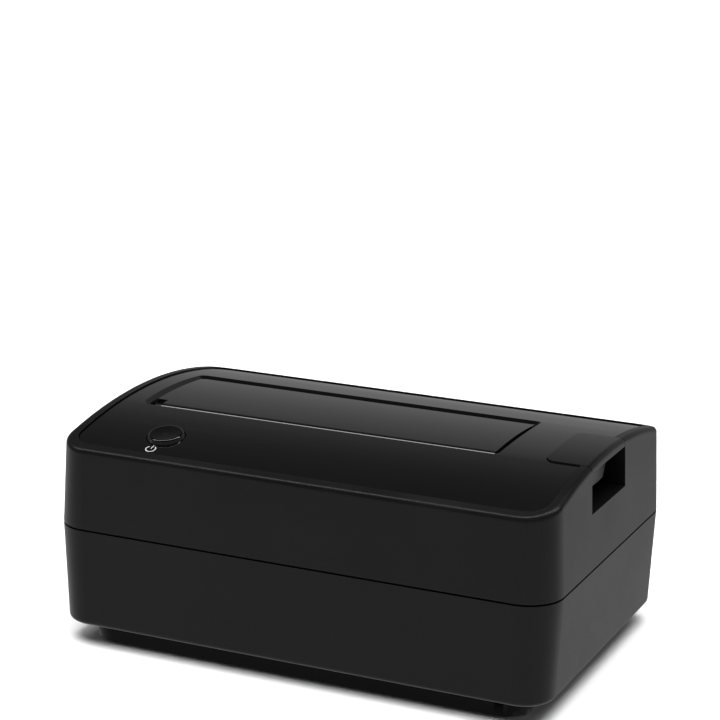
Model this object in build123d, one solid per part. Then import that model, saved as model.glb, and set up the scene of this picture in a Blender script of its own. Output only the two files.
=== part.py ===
from build123d import *
import math
import os

# Desktop docking station for a bare hard drive that stands on edge in a slot in its top.
# X runs along the front, Y from front to back, Z up. The origin is under the centre, at the feet.

# Outline at the seam, where the two shells meet and the body is widest
length = 150.0
depth = 100.0
corner_radius = 10.5
draft_angle = 2.6

# Heights of the stacked parts
foot_proud = 0.8
plinth_height = 5.6
lower_height = 29.0
upper_height = 22.9
crown_rise = 7.2

# Shell walls and the lap joint at the seam
wall = 2.2
floor = 2.2
deck = 2.0
seam_gap = 0.6
tongue_height = 1.8
tongue_width = 1.0
tongue_gap = 0.15
rim_width = 3.8
rim_round = 1.6
bottom_round = 1.6

# Glossy panel let into the crowned top
panel_thickness = 1.8
panel_sink = 0.4
panel_groove = 0.35

# The drive that the slot takes, and where it stands
drive_width = 101.6
drive_thickness = 26.1
drive_from_right = 30.2
drive_front = -9.8
drive_sunk = 34.7
connector_from_edge = 36.4
connector_from_back = 3.5

# Well that guides the drive
well_wall = 1.8
well_floor = 2.0
side_gap = 0.5
spare_left = 5.8
door_room = 5.8
spare_back = 2.7
mouth_bevel = 1.1
mouth_round = 1.0
rest_rib_height = 3.4
rest_rib_width = 1.6
rest_rib_pitch = 8.0
rest_rib_setback = 5.0
guide_rib_height = 21.0
guide_rib_width = 1.6
guide_rib_count = 5
guide_gap = 0.6
guide_lead = 4.0
stop_rib_height = 7.0
stop_rib_shares = (0.62, 0.85)
receptacle_gap = 0.5
foot_slot_height = 9.5
foot_slot_gap = 0.6
lug_radius = 3.4
lug_thickness = 2.4
lug_drop = 11.0
lug_from_wall = 3.6
lug_front_share = 0.36
lug_back_share = 0.09

# Torsion springs: pitch of the coil as a share of the wire, and the play at the legs' tips
coil_pitch_share = 1.15
leg_play = 0.05

# Sprung dust door
door_thickness = 1.8
door_sink = 1.0
door_gap = 0.4
door_side_gap = 0.35
door_rib_height = 1.2
door_rib_width = 1.2
door_rib_count = 5
hinge_radius = 2.1
hinge_drop = 3.6
hinge_pin_radius = 0.75
running_gap = 0.05
post_half = 2.3
post_gap = 0.2
door_coil_wire = 0.5
door_coil_radius = 1.5
door_coil_turns = 2
door_coil_room = 3.8
door_leg_reach = 7.0
door_leg_drop = 7.5

# Power button on the front left, square to the crowned surface
button_from_left = 29.4
button_from_front = 14.9
button_radius = 5.35
button_top_radius = 4.85
button_proud = 1.15
button_round = 0.7
button_dish = 0.15
button_gap = 0.25
button_skin = 1.2
button_flange = 1.0
button_flange_thickness = 1.0
button_travel = 0.6
stem_radius = 1.6
stem_drop = 6.4
switch_side = 6.0
switch_height = 3.2
plunger_radius = 1.7
plunger_proud = 1.0
plunger_sunk = 1.1
plunger_room = 0.2
switch_board_length = 23.4
switch_board_width = 12.0
switch_board_thickness = 1.2
switch_boss_radius = 2.0
switch_boss_offset = 9.2
led_size = 1.6
led_offset = 5.4

# Eject lever: a tab that wraps over the right rim, on a pivot under the deck
tab_reach = 14.8
tab_front = -16.4
tab_width = 27.8
tab_round = 2.6
tab_gap = 0.3
tab_thickness = 2.0
lip_height = 2.6
lip_thickness = 2.0
window_height = 11.6
window_floor = 1.6
window_depth = 9.0
skirt_thickness = 2.2
skirt_setback = 2.0
skirt_depth = 7.6
skirt_top_share = 0.92
skirt_foot_share = 0.74
pivot_setback = 2.2
pivot_drop = 7.9
pivot_pin_radius = 1.25
hub_radius = 2.7
hub_width = 2.2
hub_gap = 0.4
ear_thickness = 2.0
ear_height = 12.0
arm_thickness = 2.4
arm_width = 8.0
foot_reach = 18.0
foot_gap = 0.4
arm_bend = 1.6
lever_coil_wire = 0.8
lever_coil_radius = 2.2
lever_coil_turns = 4
lever_leg_reach = 8.0

# Main board and what stands on it
board_drop = 14.0
board_thickness = 1.6
board_left_gap = 11.0
board_right_gap = 7.0
board_front_reach = 7.4
board_back_gap = 0.5
board_hole_inset = 4.0
board_hole_radius = 1.6
standoff_radius = 3.0
receptacle_length = 41.4
receptacle_width = 6.4
receptacle_proud = 4.6
signal_slot = 10.4
power_slot = 20.6
slot_width = 1.5
slot_depth = 5.2
slot_spacing = 2.4
slot_key = 1.3
contact_pitch = 1.27
contact_width = 0.6
contact_thickness = 0.25
contact_sink = 0.8
signal_contacts = 7
power_contacts = 15
chip_side = 9.0
chip_height = 1.1
chip_offset = 32.4
chip_y = 4.0
capacitor_radius = 3.15
capacitor_height = 7.0
capacitor_count = 3
capacitor_pitch = 8.5
capacitor_from_end = 12.0
inductor_side = 7.0
inductor_height = 3.6
inductor_round = 1.2

# Sockets at the back
port_setback = 0.4
port_gap = 0.3
usb_from_end = 46.0
usb_width = 12.0
usb_height = 11.0
usb_length = 17.0
usb_skin = 0.4
usb_mouth_width = 8.6
usb_mouth_height = 7.6
usb_step_width = 5.8
usb_step_height = 2.2
usb_mouth_depth = 11.0
usb_mouth_bevel = 1.4
usb_tongue_width = 5.6
usb_tongue_height = 3.2
usb_tongue_setback = 1.6
usb_contact_count = 4
usb_contact_pitch = 1.25
usb_contact_width = 0.7
usb_contact_thickness = 0.2
dc_from_end = 22.0
dc_width = 9.0
dc_height = 11.0
dc_length = 14.0
dc_bore_radius = 3.2
dc_bore_depth = 10.5
dc_bore_rise = 6.2
dc_pin_radius = 1.05
dc_pin_setback = 1.5

# Bosses and fasteners
boss_inset = 14.0
boss_radius = 3.4
screw_radius = 1.5
screw_gap = 0.2
screw_head_radius = 2.8
screw_head_height = 2.2
screw_bite = 7.0
small_screw_radius = 1.0
small_head_radius = 1.9
small_head_height = 1.3
small_screw_bite = 5.0
gusset_thickness = 1.4
gusset_reach = 6.0
floor_rib_height = 3.0
floor_rib_width = 1.4
floor_rib_count = 4

# Plinth and feet
plinth_inset = 6.2
plinth_taper = 8.0
plinth_corner = 5.5
plinth_wall = 2.0
plinth_top = 2.4
foot_radius = 5.2
foot_thickness = 2.8
foot_seat_gap = 0.15
foot_round = 0.5

# Working allowances for cuts
overrun = 20.0

# Levels that follow from the heights
plinth_bottom = foot_proud
body_bottom = plinth_bottom + plinth_height
seam_level = body_bottom + lower_height
rim_level = seam_level + upper_height
crown_level = rim_level + crown_rise
crown_radius = ((depth / 2) ** 2 + crown_rise ** 2) / (2 * crown_rise)
crown_axis = crown_level - crown_radius
floor_top = body_bottom + floor
under_panel = panel_sink + panel_thickness
under_deck = under_panel + deck
drive_rest = crown_level - drive_sunk
well_floor_top = drive_rest - rest_rib_height
well_floor_bottom = well_floor_top - well_floor
board_top = seam_level - board_drop
board_bottom = board_top - board_thickness

# Draft of the walls
draft_slope = math.tan(math.radians(draft_angle))
top_shrink = upper_height * draft_slope

# Plan places that follow from the drive
drive_right = length / 2 - drive_from_right
drive_left = drive_right - drive_width
drive_back = drive_front + drive_thickness
well_left = drive_left - spare_left
well_right = drive_right + side_gap
well_front = drive_front - door_room
well_back = drive_back + spare_back
connector_x = drive_left + connector_from_edge
connector_y = drive_back - connector_from_back

# Main board between the corner bosses, and what stands on it
boss_x = length / 2 - boss_inset
boss_y = depth / 2 - boss_inset
corners = [(x, y) for x in (-boss_x, boss_x) for y in (-boss_y, boss_y)]
board_left = board_left_gap - boss_x
board_right = boss_x - board_right_gap
board_front = well_front - board_front_reach
chip_x = connector_x + chip_offset
capacitor_x = board_left + capacitor_from_end
usb_x = board_right - usb_from_end
dc_x = board_right - dc_from_end

# Hinge line of the dust door
hinge_y = well_front + door_gap + hinge_radius
hinge_z = crown_level - hinge_drop
barrel_left = well_left + door_coil_room

# Pivot line of the eject lever
tab_left = length / 2 - tab_reach
tab_back = tab_front + tab_width
tab_middle = (tab_front + tab_back) / 2
pivot_x = tab_left - pivot_setback
pivot_z = crown_level - pivot_drop
lip_bottom = crown_level - lip_height
window_bottom = lip_bottom - window_height
ear_front = tab_front - tab_gap - ear_thickness
ear_back = tab_back + tab_gap + ear_thickness
arm_front = tab_middle - arm_width / 2
arm_back = tab_middle + arm_width / 2
skirt_right = length / 2 - top_shrink - lip_thickness - skirt_setback
skirt_left = skirt_right - skirt_thickness
rib_left = tab_left + tab_round

# Back wall at the height of the sockets
port_level = board_top + usb_height / 2
wall_shift = (seam_level - port_level) * draft_slope
back_outside = depth / 2 - wall_shift
back_inside = back_outside - wall
board_back = back_inside - board_back_gap

# Power button's place along the front
button_x = button_from_left - length / 2


def crown_height(y, drop):
    """Height of the crowned surface at a place along Y, drop below the rim's own."""
    return crown_axis + math.sqrt((crown_radius - drop) ** 2 - y ** 2)


def under_crown(drop):
    """Everything below the crowned surface that lies drop under the rim's."""
    barrel = Cylinder(crown_radius - drop, 2 * length)
    return Pos(0, 0, crown_axis) * Rot(0, 90, 0) * barrel


def block(x_low, x_high, y_low, y_high, z_low, z_high):
    """Block between two opposite corners."""
    solid = Box(x_high - x_low, y_high - y_low, z_high - z_low)
    return Pos((x_low + x_high) / 2, (y_low + y_high) / 2, (z_low + z_high) / 2) * solid


def rounded(x_low, x_high, y_low, y_high, radius):
    """Rounded rectangle between two opposite corners, drawn in plan."""
    outline = RectangleRounded(x_high - x_low, y_high - y_low, radius)
    return Pos((x_low + x_high) / 2, (y_low + y_high) / 2) * outline


def column(outline, z_low, z_high):
    """Upright prism on a plan outline."""
    return extrude(Pos(0, 0, z_low) * outline, amount=z_high - z_low)


def polygon(*points):
    """Flat outline through points, turned so that its face looks the drawing's way."""
    turns = [a[0] * b[1] - b[0] * a[1] for a, b in zip(points, points[1:] + points[:1])]
    if sum(turns) < 0:
        points = points[::-1]
    return Polygon(*points, align=None)


def across(outline, y_low, y_high):
    """Prism along Y on an outline drawn in X and Z."""
    placed = Plane.XZ.offset(-y_high) * outline
    return extrude(placed, amount=y_high - y_low, dir=(0, -1, 0))


def along(outline, x_low, x_high):
    """Prism along X on an outline drawn in Y and Z."""
    placed = Plane.YZ.offset(x_low) * outline
    return extrude(placed, amount=x_high - x_low, dir=(1, 0, 0))


def post(x, y, z_low, z_high, radius):
    """Upright round post or hole."""
    return column(Pos(x, y) * Circle(radius), z_low, z_high)


def drafted(inset, height, upward):
    """Block inside the drafted walls, from the seam up or down."""
    outline = RectangleRounded(length - 2 * inset, depth - 2 * inset, corner_radius - inset)
    direction = (0, 0, 1) if upward else (0, 0, -1)
    return extrude(Pos(0, 0, seam_level) * outline, amount=height, dir=direction, taper=draft_angle)


def upper_outside():
    """Outside of the upper shell: drafted walls, crowned top and rounded rim."""
    solid = drafted(0, upper_height + crown_rise + overrun, True) & under_crown(0)
    rim = solid.faces().sort_by(Axis.Z)[-1].edges()
    return fillet(rim, rim_round)


def panel_outline(grow):
    """Plan outline of the glossy panel, grown all round."""
    shrink = top_shrink + rim_width - grow
    return RectangleRounded(length - 2 * shrink, depth - 2 * shrink, corner_radius - shrink)


def slot_mouth():
    """Bevelled mouth of the drive slot, wider towards the top."""
    base = crown_height(well_back, under_panel)
    outline = rounded(well_left, well_right, well_front, well_back, mouth_round)
    bevel_angle = math.degrees(math.atan2(mouth_bevel, panel_thickness))
    flare = extrude(Pos(0, 0, base) * outline, amount=panel_thickness * 2, taper=-bevel_angle)
    return flare + column(outline, base - overrun, base + overrun)


def tab_column(grow, low):
    """Upright prism on the outline of the eject tab, grown all round."""
    right = length / 2 + overrun
    outline = rounded(tab_left - grow, right, tab_front - grow, tab_back + grow, tab_round + grow)
    return column(outline, low, crown_level + overrun)


def button_frame():
    """Frame on the panel's surface under the power button, square to the crown."""
    y = button_from_front - depth / 2
    surface_radius = crown_radius - panel_sink
    tilt = math.asin(y / surface_radius)
    z = crown_axis + surface_radius * math.cos(tilt)
    normal = (0, math.sin(tilt), math.cos(tilt))
    return Plane(origin=(button_x, y, z), x_dir=(1, 0, 0), z_dir=normal)


def button_post(x, y, low, high, radius):
    """Round post or hole along the power button's axis."""
    return button_frame() * (Pos(x, y, (low + high) / 2) * Cylinder(radius, high - low))


def upper_housing(outside):
    """Upper shell: rim, deck under the panel, slot, window and bosses."""
    inside = drafted(wall, upper_height + crown_rise + overrun, True) & under_crown(under_deck)
    recess = column(panel_outline(panel_groove), seam_level, crown_level + overrun)
    shell = outside - inside - (recess - under_crown(under_panel))
    rebate = drafted(wall - tongue_width - tongue_gap, tongue_height + seam_gap, True)
    seam_cut = block(-length, length, -depth, depth, seam_level - overrun, seam_level + seam_gap / 2)
    shell = shell - rebate - seam_cut
    shell = shell - slot_mouth() - hinge_posts(post_gap, crown_level)
    shell = shell - tab_column(tab_gap, window_bottom) + finger_recess()
    for x, y in corners:
        boss = post(x, y, seam_level + seam_gap / 2, crown_level, boss_radius)
        pilot = post(x, y, seam_level, seam_level + screw_bite + screw_gap, screw_radius)
        shell = shell + (boss & under_crown(under_panel)) - pilot
    for x, y in lug_places():
        boss = post(x, y, lug_level(), crown_level, lug_radius)
        pilot = post(x, y, lug_level(), lug_level() + small_screw_bite, small_screw_radius)
        shell = shell + (boss & under_crown(under_panel)) - pilot
    for x in (-switch_boss_offset, switch_boss_offset):
        boss = button_post(x, 0, -board_depth(), -under_panel, switch_boss_radius)
        pilot = button_post(x, 0, -board_depth(), -under_panel, small_screw_radius)
        shell = shell + boss - pilot
    return shell - button_post(0, 0, -overrun, overrun, button_radius + button_gap)


def finger_recess():
    """Floor and cheeks behind the window, where a finger follows the tab down."""
    left = length / 2 - wall - window_depth
    right = length / 2 - wall
    low = tab_front - tab_gap - window_floor
    high = tab_back + tab_gap + window_floor
    tray = block(left, right, low, high, window_bottom - window_floor, lip_bottom)
    room = block(left, right, low + window_floor, high - window_floor, window_bottom, lip_bottom)
    shaped = (tray - room) & under_crown(under_deck)
    return shaped & drafted(wall / 2, upper_height + overrun, True)


def top_panel():
    """Glossy crowned panel with the slot, the button hole and the tab's notch."""
    plate = column(panel_outline(0), seam_level, crown_level + overrun)
    plate = plate & under_crown(panel_sink)
    plate = plate - under_crown(under_panel) - slot_mouth() - tab_column(tab_gap, window_bottom)
    return plate - button_post(0, 0, -overrun, overrun, button_radius + button_gap)


def lower_housing():
    """Lower shell: drafted tray with the seam tongue, bosses and socket openings."""
    outside = drafted(0, lower_height, False)
    outside = fillet(outside.faces().sort_by(Axis.Z)[0].edges(), bottom_round)
    top_cut = block(-length, length, -depth, depth, seam_level - seam_gap / 2, seam_level + overrun)
    inside = drafted(wall, lower_height, False)
    inside = inside & block(-length, length, -depth, depth, floor_top, crown_level)
    shell = outside - top_cut - inside
    ring = rounded_ring(wall - tongue_width, wall + draft_slope * seam_gap)
    shell = shell + column(ring, seam_level - seam_gap, seam_level + tongue_height)
    for x, y in corners:
        shell = shell + corner_boss(x, y)
    for x, y in board_holes():
        standoff = post(x, y, body_bottom, board_bottom, standoff_radius)
        shell = shell + standoff
    pitch = (board_right - board_left) / (floor_rib_count + 1)
    for index in range(floor_rib_count):
        x = board_left + pitch * (index + 1)
        rib = block(
            x - floor_rib_width / 2, x + floor_rib_width / 2,
            -boss_y, boss_y, floor_top - floor / 2, floor_top + floor_rib_height,
        )
        shell = shell + rib
    for x, y in corners:
        shell = shell - post(x, y, body_bottom - overrun, seam_level + overrun, screw_radius + screw_gap)
    for x, y in board_holes():
        low = board_bottom - small_screw_bite - screw_gap
        shell = shell - post(x, y, low, board_bottom + overrun, small_screw_radius)
    return shell - socket_openings()


def rounded_ring(outer_inset, inner_inset):
    """Plan ring between two insets of the seam outline."""
    outer = RectangleRounded(
        length - 2 * outer_inset, depth - 2 * outer_inset, corner_radius - outer_inset
    )
    inner = RectangleRounded(
        length - 2 * inner_inset, depth - 2 * inner_inset, corner_radius - inner_inset
    )
    return outer - inner


def corner_boss(x, y):
    """Tall screw boss with two gussets that tie it to the floor."""
    boss = post(x, y, body_bottom, seam_level - seam_gap / 2, boss_radius)
    inward_x = -math.copysign(1, x)
    inward_y = -math.copysign(1, y)
    top = seam_level - lower_height / 2
    web = polygon(
        (0, body_bottom), (boss_radius + gusset_reach, body_bottom),
        (boss_radius + gusset_reach, floor_top), (boss_radius, top), (0, top),
    )
    web_x = across(web, -gusset_thickness / 2, gusset_thickness / 2)
    web_y = along(web, -gusset_thickness / 2, gusset_thickness / 2)
    if inward_x < 0:
        web_x = mirror(web_x, about=Plane.YZ)
    if inward_y < 0:
        web_y = mirror(web_y, about=Plane.XZ)
    return boss + Pos(x, y, 0) * web_x + Pos(x, y, 0) * web_y


def board_holes():
    """Places of the four screws through the main board."""
    xs = (board_left + board_hole_inset, board_right - board_hole_inset)
    ys = (board_front + board_hole_inset, board_back - board_hole_inset)
    return [(x, y) for x in xs for y in ys]


def socket_openings():
    """Openings in the back wall for the data and power sockets."""
    low = back_inside - wall
    usb = block(
        usb_x - usb_width / 2 - port_gap, usb_x + usb_width / 2 + port_gap, low, depth,
        board_top - port_gap, board_top + usb_height + port_gap,
    )
    usb = fillet(usb.edges().filter_by(Axis.Y), port_gap)
    dc_hole = Pos(dc_x, board_top + dc_bore_rise) * Circle(dc_bore_radius + port_gap * 2)
    return usb + across(dc_hole, low, depth)


def base_plinth():
    """Tapered plinth under the body, hollow below, with foot seats and screw holes."""
    half_x = length / 2 - plinth_inset
    half_y = depth / 2 - plinth_inset
    outline = RectangleRounded(2 * half_x, 2 * half_y, plinth_corner)
    solid = extrude(Pos(0, 0, plinth_bottom) * outline, amount=plinth_height, taper=-plinth_taper)
    hollow = RectangleRounded(
        2 * (half_x - plinth_wall), 2 * (half_y - plinth_wall), plinth_corner - plinth_wall
    )
    solid = solid - column(hollow, plinth_bottom, body_bottom - plinth_top)
    seat_level = foot_thickness + screw_gap
    rib_pitch = 2 * boss_y / floor_rib_count
    for index in range(floor_rib_count + 1):
        y = rib_pitch * index - boss_y
        rib = block(
            -half_x + plinth_wall / 2, half_x - plinth_wall / 2,
            y - floor_rib_width / 2, y + floor_rib_width / 2, seat_level, body_bottom,
        )
        solid = solid + rib
    for x, y in corners:
        pad = post(x, y, plinth_bottom, body_bottom, foot_radius + floor_rib_width)
        inside = column(outline, plinth_bottom, body_bottom)
        solid = solid + (pad & inside)
        solid = solid - post(x, y, plinth_bottom - overrun, foot_thickness, foot_radius + foot_seat_gap)
        head_top = foot_thickness + screw_head_height + screw_gap
        solid = solid - post(x, y, plinth_bottom, head_top, screw_head_radius + screw_gap)
        solid = solid - post(x, y, plinth_bottom, body_bottom + overrun, screw_radius + screw_gap)
    return solid


def rubber_foot(x, y):
    """Round rubber foot, let into the plinth over the screw."""
    disc = post(x, y, 0, foot_thickness, foot_radius)
    return fillet(disc.edges().sort_by(Axis.Z)[0], foot_round)


def lug_level():
    """Underside of the upper shell's bosses that carry the well."""
    return crown_level - lug_drop


def lug_places():
    """Places of the four lugs that hang the well from the deck."""
    front = well_front - well_wall - lug_from_wall
    back = well_back + well_wall + lug_from_wall
    places = []
    for y, share in ((front, lug_front_share), (back, lug_back_share)):
        end = (well_right - well_left) * share
        places = places + [(well_left + end, y), (well_right - end, y)]
    return places


def hinge_posts(grow, top):
    """Posts at both ends of the well that carry the door's hinge pin, grown for their notches."""
    low = well_floor_bottom
    y_low = hinge_y - post_half - grow
    y_high = hinge_y + post_half + grow
    left = block(well_left - well_wall - grow, well_left, y_low, y_high, low, top)
    right = block(well_right, well_right + well_wall + grow, y_low, y_high, low, top)
    return left + right


def pivot_ear(y_low, y_high):
    """Plate on the side of the well that holds one end of the lever's pin."""
    root = well_right - mouth_round - well_wall
    level = pivot_z
    outline = polygon(
        (root, level + hub_radius), (pivot_x, level + hub_radius), (pivot_x, level - hub_radius),
        (root, level - ear_height),
    )
    outline = outline + Pos(pivot_x, level) * Circle(hub_radius)
    bore = Pos(pivot_x, level) * Circle(pivot_pin_radius)
    return across(outline - bore, y_low, y_high)


def drive_well():
    """Open well that guides the drive, with ribs, hinge posts, lugs and pivot ears."""
    outer = rounded(
        well_left - well_wall, well_right + well_wall,
        well_front - well_wall, well_back + well_wall, mouth_round + well_wall,
    )
    inner = rounded(well_left, well_right, well_front, well_back, mouth_round)
    body = column(outer, well_floor_bottom, crown_level) & under_crown(under_deck)
    ears = pivot_ear(ear_front, ear_front + ear_thickness)
    ears = ears + pivot_ear(ear_back - ear_thickness, ear_back)
    post_top = crown_height(hinge_y - post_half, under_panel) - post_gap
    body = body + hinge_posts(0, post_top) + (ears & under_crown(under_deck + hub_gap))
    for x, y in lug_places():
        inward = math.copysign(lug_from_wall, -y)
        pad = post(x, y, lug_level() - lug_thickness, lug_level(), lug_radius)
        low, high = sorted((y, y + inward))
        web = block(x - lug_radius, x + lug_radius, low, high, lug_level() - lug_thickness, lug_level())
        body = body + pad + web
        body = body - post(x, y, 0, lug_level() + screw_gap, small_screw_radius + screw_gap)
    body = body - column(inner, well_floor_top, crown_level + overrun)
    body = body + floor_ribs() + guide_ribs() + stop_ribs()
    notch = block(
        well_left - overrun, well_right + overrun, hinge_y - hinge_pin_radius,
        hinge_y + hinge_pin_radius, hinge_z, crown_level,
    )
    pin_hole = Pos(hinge_y, hinge_z) * Circle(hinge_pin_radius)
    pin_seat = along(pin_hole, well_left - overrun, well_right + overrun)
    body = body - notch - pin_seat
    opening = block(
        connector_x - receptacle_length / 2 - receptacle_gap,
        connector_x + receptacle_length / 2 + receptacle_gap,
        connector_y - receptacle_width / 2 - receptacle_gap,
        connector_y + receptacle_width / 2 + receptacle_gap,
        well_floor_bottom - overrun, drive_rest,
    )
    foot_slot = block(
        well_right - well_wall, well_right + 2 * well_wall, arm_front - foot_slot_gap,
        arm_back + foot_slot_gap, well_floor_top, well_floor_top + foot_slot_height,
    )
    return body - opening - foot_slot


def floor_ribs():
    """Ribs on the well's floor that the drive's lower edge stands on."""
    ribs = Part()
    first = connector_x + receptacle_length / 2 + rest_rib_pitch
    last = pivot_x - foot_reach - rest_rib_pitch
    count = max(1, int((last - first) / rest_rib_pitch))
    places = [first + rest_rib_pitch * index for index in range(count)]
    places.append(drive_left + rest_rib_pitch / 2)
    for x in places:
        rib = block(
            x - rest_rib_width / 2, x + rest_rib_width / 2, drive_front + rest_rib_setback, well_back,
            well_floor_top - well_floor / 2, drive_rest,
        )
        ribs = ribs + rib
    return ribs


def guide_ribs():
    """Upright ribs on the back wall, with sloped lead-ins, that steady the drive."""
    reach = well_back - drive_back - guide_gap
    top = well_floor_top + guide_rib_height
    outline = polygon(
        (well_back - reach, well_floor_top - well_floor / 2), (well_back, well_floor_top - well_floor / 2),
        (well_back, top), (well_back - reach, top - guide_lead),
    )
    ribs = Part()
    span = drive_width - 2 * guide_lead
    for index in range(guide_rib_count):
        x = drive_left + guide_lead + span * index / (guide_rib_count - 1)
        ribs = ribs + along(outline, x - guide_rib_width / 2, x + guide_rib_width / 2)
    return ribs


def stop_ribs():
    """Low ribs on the left wall that keep the drive over its connector."""
    ribs = Part()
    for share in stop_rib_shares:
        y = drive_front + drive_thickness * share
        rib = block(
            well_left - well_wall / 2, drive_left - side_gap, y - guide_rib_width / 2,
            y + guide_rib_width / 2, well_floor_top - well_floor / 2, well_floor_top + stop_rib_height,
        )
        ribs = ribs + rib
    return ribs


def dust_door():
    """Crowned door with its hinge barrel and stiffening ribs."""
    left = well_left + door_side_gap
    right = well_right - door_side_gap
    back = well_back - door_gap
    plate = block(left, right, hinge_y, back, seam_level, crown_level)
    plate = (plate & under_crown(door_sink)) - under_crown(door_sink + door_thickness)
    notch_back = hinge_y + hinge_radius + door_coil_wire + door_gap
    notch = block(
        left - overrun, barrel_left, hinge_y - overrun, notch_back, seam_level, crown_level
    )
    barrel = along(Pos(hinge_y, hinge_z) * Circle(hinge_radius), barrel_left, right)
    door = plate - notch + barrel
    pitch = (right - barrel_left) / (door_rib_count + 1)
    rib_front = hinge_y + hinge_radius / 2
    rib_back = back - door_rib_height
    for index in range(door_rib_count):
        x = barrel_left + pitch * (index + 1)
        rib = block(
            x - door_rib_width / 2, x + door_rib_width / 2, rib_front, rib_back, seam_level, crown_level
        )
        rib = (rib & under_crown(door_sink)) - under_crown(door_sink + door_thickness + door_rib_height)
        door = door + rib
    bore = Pos(hinge_y, hinge_z) * Circle(hinge_pin_radius + running_gap)
    return door - along(bore, barrel_left - overrun, right + overrun)


def door_pin():
    """Steel hinge pin that lies in the notches of the well's posts."""
    rod = Pos(hinge_y, hinge_z) * Circle(hinge_pin_radius)
    return along(rod, well_left - well_wall, well_right + well_wall)


def torsion_spring(frame, radius, wire, turns, first_tip, last_tip):
    """Coil about a frame's axis, with a straight leg from each end to a tip in its plane."""
    runs = [math.sqrt(x ** 2 + y ** 2 - radius ** 2) for x, y in (first_tip, last_tip)]
    first = math.degrees(math.atan2(first_tip[1], first_tip[0]) + math.atan2(runs[0], radius))
    last = math.degrees(math.atan2(last_tip[1], last_tip[0]) - math.atan2(runs[1], radius))
    wound = turns + (last - first) % 360 / 360
    pitch = wire * coil_pitch_share
    path = Helix(pitch=pitch, height=pitch * wound, radius=radius)
    section = Plane(origin=path @ 0, z_dir=path % 0) * Circle(wire / 2)
    spring = sweep(section, path=path, is_frenet=True)
    for place, direction, run in ((path @ 0, -(path % 0), runs[0]), (path @ 1, path % 1, runs[1])):
        spring = spring + extrude(Plane(origin=place, z_dir=direction) * Circle(wire / 2), amount=run)
    return frame * (Rot(0, 0, first) * spring)


def door_spring():
    """Torsion spring that closes the dust door: one leg under it, one on the well's wall."""
    tip_y = hinge_y + door_leg_reach
    under_door = crown_height(tip_y, door_sink + door_thickness) - hinge_z
    rise = under_door - door_coil_wire / 2 - leg_play
    set_off = hinge_y - well_front - door_coil_wire / 2 - leg_play
    frame = Plane(
        origin=(barrel_left - door_coil_wire, hinge_y, hinge_z), x_dir=(0, 1, 0), z_dir=(-1, 0, 0)
    )
    return torsion_spring(
        frame, door_coil_radius, door_coil_wire, door_coil_turns,
        (door_leg_reach, -rise), (-set_off, door_leg_drop),
    )


def power_button():
    """Button cap: dished top, rounded edge, sloped side, hollow skirt, stem and flange."""
    flange_top = -(under_deck - panel_sink) - button_gap
    flange_low = flange_top - button_flange_thickness
    outline = polygon(
        (0, button_proud), (button_top_radius, button_proud), (button_radius, 0),
        (button_radius, flange_top), (button_radius + button_flange, flange_top),
        (button_radius + button_flange, flange_low), (button_radius - button_skin, flange_low),
        (button_radius - button_skin, -button_skin / 2),
        (stem_radius, -button_skin / 2), (stem_radius, -stem_drop), (0, -stem_drop),
    )
    corner = outline.vertices().sort_by_distance(Vector(button_top_radius, button_proud))[0]
    section = Plane.XZ * fillet(corner, button_round)
    rim = button_top_radius - button_round
    dish_radius = (rim ** 2 + button_dish ** 2) / (2 * button_dish)
    dish = Pos(0, 0, button_proud - button_dish + dish_radius) * Sphere(dish_radius)
    return button_frame() * (revolve(section, axis=Axis.Z) - dish)


def board_depth():
    """Depth of the switch board's upper face below the panel's surface."""
    return stem_drop + plunger_proud + switch_height


def tact_switch():
    """Body of the small push switch, with a round hole for its plunger."""
    low = -board_depth()
    high = low + switch_height
    body = Box(switch_side, switch_side, switch_height)
    body = button_frame() * (Pos(0, 0, (low + high) / 2) * body)
    hole_low = high - plunger_sunk - button_travel - plunger_room
    return body - button_post(0, 0, hole_low, high, plunger_radius + running_gap)


def switch_plunger():
    """Plunger of the push switch, under the button's stem."""
    top = -stem_drop
    return button_post(0, 0, top - plunger_proud - plunger_sunk, top, plunger_radius)


def switch_board():
    """Small circuit board that carries the push switch and the light."""
    high = -board_depth()
    board = Box(switch_board_length, switch_board_width, switch_board_thickness)
    board = button_frame() * (Pos(0, 0, high - switch_board_thickness / 2) * board)
    for x in (-switch_boss_offset, switch_boss_offset):
        board = board - button_post(x, 0, high - overrun, high + overrun, small_screw_radius + screw_gap)
    return board


def status_led():
    """Small light on the switch board."""
    low = -board_depth()
    return button_frame() * (Pos(led_offset, 0, low + led_size / 4) * Box(led_size, led_size, led_size / 2))


def switch_screw(x):
    """Screw that holds the switch board to its boss."""
    face = -board_depth() - switch_board_thickness
    head = button_post(x, 0, face - small_head_height, face, small_head_radius)
    shank = button_post(x, 0, face, face + switch_board_thickness + small_screw_bite, small_screw_radius)
    return head + shank


def eject_tab(outside):
    """Tab flush with the top that wraps over the rim, with its skirt and hubs."""
    shell = outside & tab_column(0, lip_bottom)
    hollow = drafted(lip_thickness, upper_height + crown_rise + overrun, True)
    shell = shell - (hollow & under_crown(tab_thickness))
    skirt_front = tab_front + tab_gap * 2
    skirt_low = lip_bottom - skirt_depth
    skirt = polygon(
        (skirt_front, skirt_low), (tab_front + tab_width * skirt_foot_share, skirt_low),
        (tab_front + tab_width * skirt_top_share, lip_bottom),
        (tab_front + tab_width * skirt_top_share, crown_level), (skirt_front, crown_level),
    )
    tab = shell + (along(skirt, skirt_left, skirt_right) & under_crown(tab_thickness / 2))
    for y in (tab_front + hub_gap * 2, tab_back - hub_gap * 2 - hub_width):
        tab = tab + (across(lever_web(), y, y + hub_width) & under_crown(tab_thickness / 2))
    bore = Pos(pivot_x, pivot_z) * Circle(pivot_pin_radius + running_gap)
    return tab - across(bore, tab_front - overrun, tab_back + overrun)


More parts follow.
